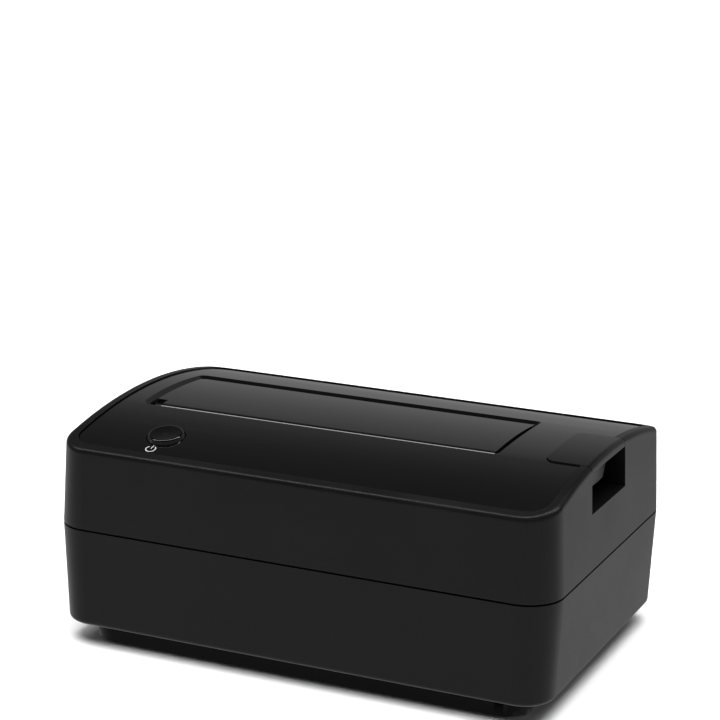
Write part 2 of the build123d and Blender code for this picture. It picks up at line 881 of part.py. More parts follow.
def lever_web():
    """Outline of a rib that ties the tab to its pivot, clear of the deck's edge."""
    outline = polygon(
        (pivot_x, pivot_z - hub_radius), (skirt_left, lip_bottom - lip_height), (skirt_left, crown_level),
        (rib_left, crown_level), (rib_left, pivot_z + hub_radius), (pivot_x, pivot_z + hub_radius),
    )
    return outline + Pos(pivot_x, pivot_z) * Circle(hub_radius)


def lift_arm():
    """Arm that hangs from the pivot and turns under the drive's edge."""
    foot_top = drive_rest - foot_gap
    foot_low = foot_top - arm_thickness
    left = pivot_x - arm_thickness / 2
    right = pivot_x + arm_thickness / 2
    tip = pivot_x - foot_reach
    outline = polygon(
        (left, pivot_z), (left, foot_top), (tip, foot_top), (tip, foot_low), (right, foot_low),
        (right, pivot_z),
    )
    bend = outline.vertices().sort_by_distance(Vector(right, foot_low))[0]
    outline = fillet(bend, arm_bend)
    crook = outline.vertices().sort_by_distance(Vector(left, foot_top))[0]
    outline = fillet(crook, arm_bend)
    bore = Pos(pivot_x, pivot_z) * Circle(pivot_pin_radius + running_gap)
    arm = across(outline + lever_web() - bore, arm_front, arm_back)
    return arm & under_crown(tab_thickness)


def pivot_pin():
    """Steel pin of the eject lever, held in the well's ears."""
    return across(Pos(pivot_x, pivot_z) * Circle(pivot_pin_radius), ear_front, ear_back)


def lever_spring():
    """Torsion spring on the pivot pin: one leg lifts the tab, the other bears on the deck."""
    play = lever_coil_wire / 2 + leg_play
    y = arm_back + hub_gap + lever_coil_wire * (lever_coil_turns + 2)
    tab_rise = crown_height(y, tab_thickness) - pivot_z - play
    deck_rise = crown_height(y, under_deck) - pivot_z - play
    frame = Plane(origin=(pivot_x, y, pivot_z), x_dir=(1, 0, 0), z_dir=(0, -1, 0))
    return torsion_spring(
        frame, lever_coil_radius, lever_coil_wire, lever_coil_turns,
        (lever_leg_reach, tab_rise), (-lever_leg_reach, deck_rise),
    )


def main_board():
    """Main circuit board with its four screw holes."""
    board = block(board_left, board_right, board_front, board_back, board_bottom, board_top)
    for x, y in board_holes():
        board = board - post(x, y, board_bottom - overrun, board_top + overrun, board_hole_radius)
    return board


def slot_centres():
    """X places of the receptacle's power and signal slots."""
    used = power_slot + slot_spacing + signal_slot
    power = connector_x - used / 2 + power_slot / 2
    signal = connector_x + used / 2 - signal_slot / 2
    return power, signal


def sata_receptacle():
    """Tall drive receptacle with two keyed slots, standing on the main board."""
    top = drive_rest + receptacle_proud
    body = block(
        connector_x - receptacle_length / 2, connector_x + receptacle_length / 2,
        connector_y - receptacle_width / 2, connector_y + receptacle_width / 2, board_top, top,
    )
    power, signal = slot_centres()
    for x, span in ((power, power_slot), (signal, signal_slot)):
        left = x - span / 2
        right = x + span / 2
        slot = block(
            left, right, connector_y - slot_width / 2, connector_y + slot_width / 2, top - slot_depth, top
        )
        key = block(
            left, left + slot_key, connector_y, connector_y + slot_width / 2 + slot_key,
            top - slot_depth, top,
        )
        body = body - slot - key
    return body


def sata_contacts():
    """Contact blades on the front wall of each slot."""
    top = drive_rest + receptacle_proud
    face = connector_y - slot_width / 2
    power, signal = slot_centres()
    blades = []
    for x, count in ((power, power_contacts), (signal, signal_contacts)):
        first = x - contact_pitch * (count - 1) / 2
        for index in range(count):
            middle = first + contact_pitch * index
            blades.append(block(
                middle - contact_width / 2, middle + contact_width / 2,
                face, face + contact_thickness, top - slot_depth, top - contact_sink,
            ))
    return blades


def bridge_chip():
    """Bridge chip on the board under the well."""
    body = block(
        chip_x - chip_side / 2, chip_x + chip_side / 2, chip_y - chip_side / 2, chip_y + chip_side / 2,
        board_top, board_top + chip_height,
    )
    return chamfer(body.faces().sort_by(Axis.Z)[-1].edges(), chip_height / 4)


def board_capacitors():
    """Round capacitors on the back edge of the board."""
    y = (well_back + well_wall + board_back) / 2
    cans = []
    for index in range(capacitor_count):
        x = capacitor_x + capacitor_pitch * index
        can = post(x, y, board_top, board_top + capacitor_height, capacitor_radius)
        cans.append(fillet(can.edges().sort_by(Axis.Z)[-1], capacitor_radius / 6))
    return cans


def power_inductor():
    """Moulded power inductor beside the capacitors."""
    x = capacitor_x + capacitor_pitch * capacitor_count
    y = (well_back + well_wall + board_back) / 2
    body = block(
        x - inductor_side / 2, x + inductor_side / 2, y - inductor_side / 2, y + inductor_side / 2,
        board_top, board_top + inductor_height,
    )
    return fillet(body.edges().filter_by(Axis.Z), inductor_round)


def usb_mouth(y_low, y_high):
    """Keyed mouth of the data socket: square body, sloped corners, narrow upper step."""
    half = usb_mouth_width / 2
    step_half = usb_step_width / 2
    low = board_top + (usb_height - usb_mouth_height - usb_step_height) / 2
    shoulder = low + usb_mouth_height
    top = shoulder + usb_step_height
    outline = polygon(
        (usb_x - half, low), (usb_x + half, low), (usb_x + half, shoulder - usb_mouth_bevel),
        (usb_x + half - usb_mouth_bevel, shoulder), (usb_x + step_half, shoulder), (usb_x + step_half, top),
        (usb_x - step_half, top), (usb_x - step_half, shoulder), (usb_x - half + usb_mouth_bevel, shoulder),
        (usb_x - half, shoulder - usb_mouth_bevel),
    )
    return across(outline, y_low, y_high)


def usb_port_shell():
    """Metal shell of the data socket."""
    front = back_outside - port_setback
    body = block(
        usb_x - usb_width / 2, usb_x + usb_width / 2, front - usb_length, front,
        board_top, board_top + usb_height,
    )
    body = fillet(body.edges().filter_by(Axis.Y), usb_skin)
    return body - usb_mouth(front - usb_mouth_depth, front + overrun)


def usb_tongue_level():
    """Middle height of the tongue in the data socket."""
    low = board_top + (usb_height - usb_mouth_height - usb_step_height) / 2
    return low + usb_mouth_height / 2


def usb_port_tongue():
    """Plastic tongue inside the data socket."""
    front = back_outside - port_setback
    middle = usb_tongue_level()
    body = block(
        usb_x - usb_tongue_width / 2, usb_x + usb_tongue_width / 2,
        front - usb_mouth_depth, front - usb_tongue_setback,
        middle - usb_tongue_height / 2, middle + usb_tongue_height / 2,
    )
    return chamfer(body.faces().sort_by(Axis.Y)[-1].edges(), usb_skin)


def usb_contacts():
    """Contact strips above and below the tongue."""
    front = back_outside - port_setback - usb_tongue_setback
    middle = usb_tongue_level()
    strips = []
    for index in range(usb_contact_count):
        x = usb_x + usb_contact_pitch * (index - (usb_contact_count - 1) / 2)
        for side in (-1, 1):
            face = middle + side * usb_tongue_height / 2
            low, high = sorted((face, face + side * usb_contact_thickness))
            strips.append(block(
                x - usb_contact_width / 2, x + usb_contact_width / 2,
                front - usb_mouth_depth / 2, front - usb_skin * 2, low, high,
            ))
    return strips


def dc_jack_body():
    """Moulded body of the power socket, with its round bore."""
    front = back_inside - port_gap
    body = block(
        dc_x - dc_width / 2, dc_x + dc_width / 2, front - dc_length, front, board_top, board_top + dc_height
    )
    body = fillet(body.edges().filter_by(Axis.Y).group_by(Axis.Z)[-1], port_setback)
    bore = Pos(dc_x, board_top + dc_bore_rise) * Circle(dc_bore_radius)
    return body - across(bore, front - dc_bore_depth, front + overrun)


def dc_jack_pin():
    """Centre pin of the power socket."""
    front = back_inside - port_gap
    pin = Pos(dc_x, board_top + dc_bore_rise) * Circle(dc_pin_radius)
    solid = across(pin, front - dc_bore_depth, front - dc_pin_setback)
    return fillet(solid.faces().sort_by(Axis.Y)[-1].edges(), dc_pin_radius / 3)


def housing_screw(x, y):
    """Long screw from the foot's seat up into the upper shell."""
    seat = foot_thickness + screw_head_height + screw_gap
    head = post(x, y, seat - screw_head_height, seat, screw_head_radius)
    head = chamfer(head.edges().sort_by(Axis.Z)[0], screw_head_height / 4)
    return head + post(x, y, seat, seam_level + screw_bite, screw_radius)


def small_screw(x, y, face, upward):
    """Short screw whose head lies on a face, pointing up or down."""
    sign = 1 if upward else -1
    low, high = sorted((face, face - sign * small_head_height))
    head = post(x, y, low, high, small_head_radius)
    low, high = sorted((face, face + sign * small_screw_bite))
    return head + post(x, y, low, high, small_screw_radius)


def save(name, shape):
    """Write one node; a list becomes a group of separate solids."""
    if isinstance(shape, list):
        shape = Compound(children=[solid for item in shape for solid in item.solids()])
    export_step(shape, os.path.join("parts", name + ".step"))


def main():
    os.makedirs("parts", exist_ok=True)
    outside = upper_outside()
    save("upper_housing", upper_housing(outside))
    save("lower_housing", lower_housing())
    save("base_plinth", base_plinth())
    save("top_panel", top_panel())
    save("drive_well", drive_well())
    save("dust_door", dust_door())
    save("door_pin", door_pin())
    save("door_spring", door_spring())
    save("power_button", power_button())
    save("tact_switch", tact_switch())
    save("switch_plunger", switch_plunger())
    save("switch_board", switch_board())
    save("status_led", status_led())
    save("eject_tab", eject_tab(outside))
    save("lift_arm", lift_arm())
    save("pivot_pin", pivot_pin())
    save("lever_spring", lever_spring())
    save("main_board", main_board())
    save("sata_receptacle", sata_receptacle())
    save("sata_contacts", sata_contacts())
    save("bridge_chip", bridge_chip())
    save("board_capacitors", board_capacitors())
    save("power_inductor", power_inductor())
    save("usb_port_shell", usb_port_shell())
    save("usb_port_tongue", usb_port_tongue())
    save("usb_contacts", usb_contacts())
    save("dc_jack_body", dc_jack_body())
    save("dc_jack_pin", dc_jack_pin())
    save("rubber_feet", [rubber_foot(x, y) for x, y in corners])
    save("housing_screws", [housing_screw(x, y) for x, y in corners])
    save("board_screws", [small_screw(x, y, board_top, False) for x, y in board_holes()])
    well_face = lug_level() - lug_thickness
    save("well_screws", [small_screw(x, y, well_face, True) for x, y in lug_places()])
    save("switch_screws", [switch_screw(x) for x in (-switch_boss_offset, switch_boss_offset)])


main()
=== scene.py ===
import bmesh
import bpy
import math
from mathutils import Matrix, Vector


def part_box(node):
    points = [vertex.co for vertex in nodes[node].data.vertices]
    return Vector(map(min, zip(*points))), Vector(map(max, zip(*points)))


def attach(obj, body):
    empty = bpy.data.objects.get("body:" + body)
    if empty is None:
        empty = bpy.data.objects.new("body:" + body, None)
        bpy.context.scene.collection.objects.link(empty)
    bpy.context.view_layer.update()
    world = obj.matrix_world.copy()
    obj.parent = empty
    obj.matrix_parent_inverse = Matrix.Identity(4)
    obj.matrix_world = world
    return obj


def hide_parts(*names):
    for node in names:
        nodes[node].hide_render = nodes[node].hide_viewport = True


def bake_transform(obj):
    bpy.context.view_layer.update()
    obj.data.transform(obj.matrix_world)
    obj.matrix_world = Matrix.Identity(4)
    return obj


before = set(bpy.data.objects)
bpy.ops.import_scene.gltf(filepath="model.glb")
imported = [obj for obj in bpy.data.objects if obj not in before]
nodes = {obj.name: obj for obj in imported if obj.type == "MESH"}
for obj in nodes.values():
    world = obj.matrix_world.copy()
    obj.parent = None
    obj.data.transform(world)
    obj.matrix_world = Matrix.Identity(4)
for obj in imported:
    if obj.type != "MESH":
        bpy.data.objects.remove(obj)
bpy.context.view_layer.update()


def corners(pair):
    """A box's two corners as plain lists of numbers."""
    return [[float(value) for value in corner] for corner in pair]


def in_scene(name, data):
    """A new object that shows this data, linked to the scene."""
    thing = bpy.data.objects.new(name, data)
    bpy.context.scene.collection.objects.link(thing)
    return thing


# Shader nodes
def add_node(tree, kind, **settings):
    """A new shader node with its own settings."""
    node = tree.nodes.new(kind)
    for key, value in settings.items():
        setattr(node, key, value)
    return node


def fill(node, **values):
    """Constants for a node's sockets, whose names have spaces for the underscores here."""
    for key, value in values.items():
        node.inputs[key.replace("_", " ")].default_value = value


def add_ramp(tree, value, stops, interpolation="LINEAR"):
    """A colour ramp over stops, each a place and a colour."""
    node = add_node(tree, "ShaderNodeValToRGB")
    elements = node.color_ramp.elements
    node.color_ramp.interpolation = interpolation
    while len(elements) < len(stops):
        elements.new(0.5)
    for element, (place, color) in zip(elements, stops):
        element.position = place
        element.color = (*color, 1)
    tree.links.new(value, node.inputs["Fac"])
    return node.outputs["Color"]


WHOLE = (0.0, 1.0)
# The part of its range that a noise mostly stays in
MIDDLE = (0.3, 0.7)
# How far a rounded normal agrees with the true one on a sharp edge, and beside it
EDGE_AGREEMENT = (0.80, 0.995)


class Shader:
    """A procedural material, built node by node."""

    def __init__(self, name):
        self.material = bpy.data.materials.new(name)
        self.material.use_nodes = True
        self.tree = self.material.node_tree
        self.tree.nodes.clear()
        out = self.add("ShaderNodeOutputMaterial")
        self.surface = self.add("ShaderNodeBsdfPrincipled")
        self.link(self.surface.outputs[0], out.inputs["Surface"])
        self.place = self.add("ShaderNodeTexCoord").outputs["Object"]

    def add(self, kind, **settings):
        return add_node(self.tree, kind, **settings)

    def link(self, source, socket):
        self.tree.links.new(source, socket)

    def feed(self, **sources):
        """Outputs that drive the surface's own sockets."""
        for key, source in sources.items():
            self.link(source, self.surface.inputs[key.replace("_", " ")])

    def noise(self, scale, detail=3.0, rough=0.5, stretch=None):
        """Noise in the object's space, drawn out where its scale is stretched."""
        place = self.place
        if stretch:
            mapping = self.add("ShaderNodeMapping")
            fill(mapping, Scale=stretch)
            self.link(place, mapping.inputs["Vector"])
            place = mapping.outputs[0]
        node = self.add("ShaderNodeTexNoise")
        fill(node, Scale=scale, Detail=detail, Roughness=rough)
        self.link(place, node.inputs["Vector"])
        return node.outputs["Fac"]

    def ramp(self, value, stops):
        return add_ramp(self.tree, value, stops)

    def remap(self, value, to, source=WHOLE):
        """A value carried over from one range to another."""
        node = self.add("ShaderNodeMapRange")
        fill(node, From_Min=source[0], From_Max=source[1], To_Min=to[0], To_Max=to[1])
        self.link(value, node.inputs["Value"])
        return node.outputs[0]

    def combine(self, operation, first, second):
        """Two values combined, each an output or a plain number."""
        node = self.add("ShaderNodeMath", operation=operation)
        for socket, value in zip(node.inputs, (first, second)):
            if isinstance(value, float):
                socket.default_value = value
            else:
                self.link(value, socket)
        return node.outputs[0]

    def mix(self, factor, first, second):
        """A colour from nodes that turns into a plain one as the factor grows."""
        node = self.add("ShaderNodeMixRGB")
        self.link(factor, node.inputs["Fac"])
        self.link(first, node.inputs["Color1"])
        fill(node, Color2=(*second, 1))
        return node.outputs[0]

    def bump(self, height, strength, distance):
        node = self.add("ShaderNodeBump")
        fill(node, Strength=strength, Distance=distance)
        self.link(height, node.inputs["Height"])
        return node.outputs[0]

    def edges(self, reach):
        """One along sharp edges and nothing elsewhere."""
        bevel = self.add("ShaderNodeBevel", samples=8)
        fill(bevel, Radius=reach)
        geometry = self.add("ShaderNodeNewGeometry")
        agreement = self.add("ShaderNodeVectorMath", operation="DOT_PRODUCT")
        self.link(bevel.outputs[0], agreement.inputs[0])
        self.link(geometry.outputs["Normal"], agreement.inputs[1])
        return self.remap(agreement.outputs["Value"], (1.0, 0.0), EDGE_AGREEMENT)


# Kinds of material
PLASTIC_IOR = 1.5
# Sharp edges: how far their mask reaches, how much lighter their colour is painted (partly wear, partly a
# painted highlight), and how much smoother they are
WEAR_AND_HIGHLIGHT_REACH = 0.0004
WEAR_AND_HIGHLIGHT_LIGHTER = 2
WORN_SMOOTHER = 0.22
SHINE_LIGHTER = 1.25
SHINE_ROUGHER = 1.6


def moulded(name, dark, light, rough, grain, depth, specular=0.15):
    """Matt moulded plastic with fine spark texture, faint mottling and polished edges, whose colour is
    painted lighter along the edges, partly as wear and partly as a painted highlight.
    """
    shader = Shader(name)
    fine = shader.noise(1 / grain, detail=2.0, rough=0.6)
    broad = shader.noise(38.0, detail=4.0, rough=0.55)
    mottled = shader.ramp(broad, [(0.32, dark), (0.68, light)])
    wear_and_highlight = shader.edges(WEAR_AND_HIGHLIGHT_REACH)
    # Sharp edges are painted lighter: partly wear, partly a painted highlight along them
    color = shader.mix(wear_and_highlight, mottled, tuple(WEAR_AND_HIGHLIGHT_LIGHTER * part for part in light))
    level = shader.remap(broad, (rough - 0.03, rough + 0.04), MIDDLE)
    speck = shader.remap(fine, (-0.03, 0.03), MIDDLE)
    level = shader.combine("ADD", level, speck)
    rubbed = shader.combine("MULTIPLY", wear_and_highlight, WORN_SMOOTHER)
    level = shader.combine("SUBTRACT", level, rubbed)
    grained = shader.bump(fine, strength=0.35, distance=depth)
    shader.feed(Base_Color=color, Roughness=level, Normal=grained)
    fill(shader.surface, IOR=PLASTIC_IOR, Specular_IOR_Level=specular)
    return shader.material


def polished(name, color, rough, specular=0.5):
    """Piano black plastic: deep gloss, faint waviness, dust specks and hairlines."""
    shader = Shader(name)
    wave = shader.noise(60.0, detail=1.0, rough=0.4)
    lines = shader.noise(900.0, detail=2.0, stretch=(0.12, 1.0, 1.0))
    dust = shader.noise(2600.0, detail=1.0)
    mottled = shader.noise(25.0)
    lighter = tuple(SHINE_LIGHTER * part for part in color)
    tone = shader.ramp(mottled, [(0.3, color), (0.7, lighter)])
    base = shader.remap(mottled, (rough, rough * SHINE_ROUGHER), (0.35, 0.7))
    fleck = shader.remap(dust, (0.0, 0.12), (0.72, 0.80))
    hair = shader.remap(lines, (0.0, 0.02), (0.6, 0.7))
    level = shader.combine("ADD", base, fleck)
    level = shader.combine("ADD", level, hair)
    waved = shader.bump(wave, strength=0.06, distance=0.00012)
    shader.feed(Base_Color=tone, Roughness=level, Normal=waved)
    fill(shader.surface, IOR=PLASTIC_IOR, Specular_IOR_Level=specular)
    return shader.material


def metal(name, dark, light, rough, stretch, scale=1600.0):
    """Plated or drawn metal with directional marks."""
    shader = Shader(name)
    marks = shader.noise(scale, rough=0.6, stretch=stretch)
    broad = shader.noise(120.0)
    tone = shader.ramp(broad, [(0.3, dark), (0.7, light)])
    drawn = shader.remap(marks, (rough - 0.06, rough + 0.08))
    cloudy = shader.remap(broad, (-0.03, 0.05))
    level = shader.combine("ADD", drawn, cloudy)
    scored = shader.bump(marks, strength=0.15, distance=0.00003)
    shader.feed(Base_Color=tone, Roughness=level, Normal=scored)
    fill(shader.surface, Metallic=1.0)
    return shader.material


def solder_mask(name):
    """Green board lacquer with traces showing faintly through it."""
    shader = Shader(name)
    brick = shader.add("ShaderNodeTexBrick")
    fill(
        brick, Scale=260.0, Mortar_Size=0.035, Color1=(0.010, 0.085, 0.030, 1),
        Color2=(0.008, 0.070, 0.026, 1), Mortar=(0.022, 0.150, 0.050, 1),
    )
    shader.link(shader.place, brick.inputs["Vector"])
    level = shader.remap(shader.noise(300.0), (0.22, 0.36))
    raised = shader.bump(brick.outputs["Fac"], strength=0.3, distance=0.00004)
    shader.feed(Base_Color=brick.outputs["Color"], Roughness=level, Normal=raised)
    fill(shader.surface, IOR=PLASTIC_IOR)
    return shader.material


def foot_rubber(name):
    """Moulded rubber with a dusty, slightly scuffed surface."""
    shader = Shader(name)
    grain = shader.noise(2200.0, rough=0.6)
    dust = shader.noise(140.0, detail=4.0, rough=0.6)
    tone = shader.ramp(dust, [(0.35, (0.012, 0.012, 0.012)), (0.75, (0.035, 0.034, 0.033))])
    level = shader.remap(dust, (0.7, 0.9))
    grained = shader.bump(grain, strength=0.5, distance=0.00008)
    shader.feed(Base_Color=tone, Roughness=level, Normal=grained)
    return shader.material


def clear_lens(name):
    """Small light with a milky diffusing body."""
    shader = Shader(name)
    cloud = shader.noise(1500.0)
    tone = shader.ramp(cloud, [(0.3, (0.70, 0.74, 0.80)), (0.7, (0.85, 0.88, 0.92))])
    shader.feed(Base_Color=tone, Roughness=shader.remap(cloud, (0.10, 0.22)))
    fill(shader.surface, IOR=PLASTIC_IOR, Transmission_Weight=0.4)
    return shader.material


def white_ink(name):
    """Printed ink: slightly uneven and matt."""
    shader = Shader(name)
    cloud = shader.noise(4000.0, detail=4.0, rough=0.6)
    tone = shader.ramp(cloud, [(0.25, (0.36, 0.36, 0.36)), (0.7, (0.52, 0.52, 0.52))])
    shader.feed(Base_Color=tone, Roughness=shader.remap(cloud, (0.45, 0.6)))
    return shader.material


# The materials
SHELL_GRAIN = 0.00042
SHELL_DEPTH = 0.00005

shell = moulded(
    "housing_plastic", dark=(0.0030, 0.0030, 0.0031), light=(0.0042, 0.0042, 0.0043),
    rough=0.32, grain=SHELL_GRAIN, depth=SHELL_DEPTH,
)
# The plinth's colour is darker than the housing's: painted shade under the housing
plinth_painted_shade = moulded(
    "plinth_plastic_painted_shade", dark=(0.0016, 0.0016, 0.0017), light=(0.0024, 0.0024, 0.0025),
    rough=0.45, grain=SHELL_GRAIN, depth=SHELL_DEPTH, specular=0.05,
)
# The skirt's colour is lighter than the housing's: painted light, standing in for the light it catches from
# the right
skirt_painted_light = moulded(
    "skirt_plastic", dark=(0.0040, 0.0040, 0.0041), light=(0.0056, 0.0056, 0.0057),
    rough=0.42, grain=SHELL_GRAIN, depth=0.00003, specular=0.5,
)
# The inner parts' colour is lighter than the housing's: painted light that lifts the shade inside the drive
# well
inner_painted_light = moulded(
    "inner_plastic", dark=(0.009, 0.009, 0.0093), light=(0.013, 0.013, 0.0133),
    rough=0.5, grain=0.0007, depth=SHELL_DEPTH,
)
gloss = polished("gloss_plastic", (0.0020, 0.0020, 0.0021), rough=0.045)
button = polished("button_plastic", (0.0008, 0.0008, 0.0009), rough=0.06)
satin = polished("tab_plastic", (0.0025, 0.0025, 0.0026), rough=0.11, specular=0.25)
steel = metal(
    "steel", dark=(0.42, 0.42, 0.43), light=(0.56, 0.56, 0.57), rough=0.3, stretch=(1.0, 1.0, 0.2)
)
blued = metal(
    "blued_steel", dark=(0.035, 0.037, 0.042), light=(0.060, 0.062, 0.068),
    rough=0.34, stretch=(1.0, 1.0, 0.2),
)
nickel = metal(
    "port_metal", dark=(0.50, 0.50, 0.49), light=(0.64, 0.63, 0.61),
    rough=0.26, stretch=(1.0, 0.15, 1.0),
)
can = metal(
    "can_metal", dark=(0.58, 0.58, 0.60), light=(0.74, 0.74, 0.76),
    rough=0.32, stretch=(1.0, 1.0, 0.1), scale=900.0,
)
gold = metal(
    "contact_metal", dark=(0.70, 0.46, 0.14), light=(0.85, 0.60, 0.24),
    rough=0.2, stretch=(1.0, 1.0, 0.3),
)
board = solder_mask("board")
insulator = moulded(
    "port_plastic", dark=(0.012, 0.050, 0.26), light=(0.016, 0.065, 0.32),
    rough=0.4, grain=0.0006, depth=0.00004,
)
rubber = foot_rubber("foot_rubber")
lens = clear_lens("lamp")
ink = white_ink("printed_ink")

finish_of = {
    "upper_housing": shell, "lower_housing": shell, "base_plinth": plinth_painted_shade, "eject_tab": satin,
    "top_panel": gloss, "dust_door": gloss, "power_button": button,
    "drive_well": inner_painted_light, "lift_arm": inner_painted_light, "tact_switch": inner_painted_light, "switch_plunger": inner_painted_light,
    "sata_receptacle": inner_painted_light, "bridge_chip": inner_painted_light, "power_inductor": inner_painted_light, "dc_jack_body": inner_painted_light,
    "door_pin": blued, "door_spring": blued, "pivot_pin": steel, "lever_spring": blued,
    "housing_screws": steel, "board_screws": steel, "well_screws": steel, "switch_screws": steel,
    "main_board": board, "switch_board": board, "status_led": lens,
    "sata_contacts": gold, "usb_contacts": gold, "board_capacitors": can,
    "usb_port_shell": nickel, "dc_jack_pin": nickel, "usb_port_tongue": insulator,
    "rubber_feet": rubber,
}
for name, material in finish_of.items():
    mesh = nodes[name].data
    mesh.materials.clear()
    mesh.materials.append(material)
    for polygon in mesh.polygons:
        polygon.material_index = 0


# The eject tab has a smooth top, the housing's grain on its lip, and a skirt set back under the lip whose
# lighter colour is painted light, where it faces the bright surroundings on its right
LIP_THICKNESS = 0.001
FACING_RIGHT = 0.9
NEARLY_UPRIGHT = 0.35


def tab_finish():
    """The tab's lip in the housing's material, and the faces set in under it in a lighter one whose colour
    is painted light.
    """
    mesh = nodes["eject_tab"].data
    lip_slot, skirt_painted_light_slot = 1, 2
    mesh.materials.append(shell)
    mesh.materials.append(skirt_painted_light)
    lip_inside = corners(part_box("eject_tab"))[1][0] - LIP_THICKNESS
    for polygon in mesh.polygons:
        # Faces turned to the right under the lip get the lighter colour, which is painted light
        if polygon.normal.x > FACING_RIGHT and polygon.center.x < lip_inside:
            polygon.material_index = skirt_painted_light_slot
        elif abs(polygon.normal.z) < NEARLY_UPRIGHT:
            polygon.material_index = lip_slot


tab_finish()


def wound(node):
    """Torsion spring: a copy of its mesh as a piece of its own, with its node hidden and its placement
    baked in.
    """
    piece = in_scene(node + "_wound", nodes[node].data.copy())
    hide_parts(node)
    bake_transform(piece)


wound("door_spring")
wound("lever_spring")


# The plinth's outline at its foot, read off the photograph's lower edge
PLINTH_HALF = (0.0665, 0.0438)
PLINTH_CORNER = 0.0086
# Sizes of the plinth's node, repeated from the source
NODE_HALF = (0.0688, 0.0438)
NODE_CORNER = 0.0055
PLINTH_LOW = 0.0008
PLINTH_DRAFT = math.tan(math.radians(8))
# The inner end walls lie in this range of the node, between its foot pads, and move in to a new place
NODE_END_WALLS = (0.0655, 0.0675)
NODE_PAD_START = 0.0335
NEW_END_WALLS = 0.0655
# Cuts across each corner of the node, so that its straight walls can follow a rounder corner
CUT_SHARES = (0, 0.25, 0.5, 0.75)
WELD_REACH = 0.000001
SHARP_ANGLE = math.radians(30)


def cut_across(solid, axis, place):
    """New edges where a plane across an axis meets the mesh."""
    point = Vector((0, 0, 0))
    normal = Vector((0, 0, 0))
    point[axis] = place
    normal[axis] = 1
    everything = solid.verts[:] + solid.edges[:] + solid.faces[:]
    bmesh.ops.bisect_plane(solid, geom=everything, plane_co=point, plane_no=normal)


def inside_outline(x, y, grown):
    """A place brought inside the plinth's rounded outline, grown by its draft."""
    radius = PLINTH_CORNER + grown
    half = [size + grown for size in PLINTH_HALF]
    past = [abs(value) - (size - radius) for value, size in zip((x, y), half)]
    if min(past) > 0 and math.hypot(*past) > radius:
        shrink = radius / math.hypot(*past)
        placed = [size - radius + value * shrink for size, value in zip(half, past)]
    else:
        placed = [min(abs(value), size) for value, size in zip((x, y), half)]
    return math.copysign(placed[0], x), math.copysign(placed[1], y)


def rounder_plinth():
    """The plinth with shorter ends and rounder corners than its node has."""
    solid = bmesh.new()
    solid.from_mesh(nodes["base_plinth"].data)
    for axis in (0, 1):
        core = PLINTH_HALF[axis] - PLINTH_CORNER
        node_core = NODE_HALF[axis] - NODE_CORNER
        for share in CUT_SHARES:
            for side in (-1, 1):
                cut_across(solid, axis, side * (core + share * (node_core - core)))
    for vertex in solid.verts:
        x, y, z = vertex.co
        if NODE_END_WALLS[0] < abs(x) < NODE_END_WALLS[1] and abs(y) < NODE_PAD_START:
            x = math.copysign(NEW_END_WALLS, x)
        x, y = inside_outline(x, y, (z - PLINTH_LOW) * PLINTH_DRAFT)
        vertex.co = (x, y, z)
    bmesh.ops.remove_doubles(solid, verts=solid.verts, dist=WELD_REACH)
    bmesh.ops.dissolve_degenerate(solid, edges=solid.edges, dist=WELD_REACH)
    mesh = bpy.data.meshes.new("plinth")
    solid.to_mesh(mesh)
    solid.free()
    mesh.validate()
    # The plinth's darker colour is painted shade
    mesh.materials.append(plinth_painted_shade)
    for polygon in mesh.polygons:
        polygon.material_index = 0
        polygon.use_smooth = True
    mesh.set_sharp_from_angle(angle=SHARP_ANGLE)
    piece = in_scene("plinth", mesh)
    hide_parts("base_plinth")
    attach(piece, "housing")


rounder_plinth()


# The crowned panel's surface, repeated from the source's sizes
CROWN_TOP = 0.0655
CROWN_RISE = 0.0072
HALF_DEPTH = 0.050
CROWN_RADIUS = (HALF_DEPTH ** 2 + CROWN_RISE ** 2) / (2 * CROWN_RISE)
PANEL_SINK = 0.0004
# The printed power symbol: a ring that is open at the top, and a stem
SYMBOL_CENTRE = (-0.0463, -0.04265)
RING_RADIUS = 0.00140
RING_START, RING_END = 128, 412
RING_STEPS = 40
STEM_POINTS = [(0, 0.0002), (0, 0.0008), (0, 0.0013), (0, 0.0018)]
INK_WIDTH = 0.00026
INK_LIFT = 0.00003
RIBBON_CORNERS = 4


def panel_height(y):
    """Height of the panel's surface, which only changes from front to back."""
    return CROWN_TOP - CROWN_RADIUS + math.sqrt((CROWN_RADIUS - PANEL_SINK) ** 2 - y * y)


def ribbon_sides(points, width):
    """The two sides of a line through points in the plane."""
    sides = []
    for index, point in enumerate(points):
        before = points[max(index - 1, 0)]
        after = points[min(index + 1, len(points) - 1)]
        run = Vector(after) - Vector(before)
        run.normalize()
        across = Vector((-run.y, run.x)) * width / 2
        sides.append((Vector(point) + across, Vector(point) - across))
    return sides


def print_stroke(points, vertices, faces):
    """One stroke as a thin ribbon that lies on the crowned panel."""
    first = len(vertices)
    sides = ribbon_sides(points, INK_WIDTH)
    for pair in sides:
        for lift in (INK_LIFT, -INK_LIFT):
            for side in pair:
                x = SYMBOL_CENTRE[0] + side.x
                y = SYMBOL_CENTRE[1] + side.y
                vertices.append((x, y, panel_height(y) + lift))
    last = first + RIBBON_CORNERS * (len(sides) - 1)
    for near in range(first, last, RIBBON_CORNERS):
        far = near + RIBBON_CORNERS
        faces += [
            (near, near + 1, far + 1, far), (near + 2, far + 2, far + 3, near + 3),
            (near, far, far + 2, near + 2), (near + 1, near + 3, far + 3, far + 1),
        ]
    faces += [(first, first + 2, first + 3, first + 1), (last, last + 1, last + 3, last + 2)]


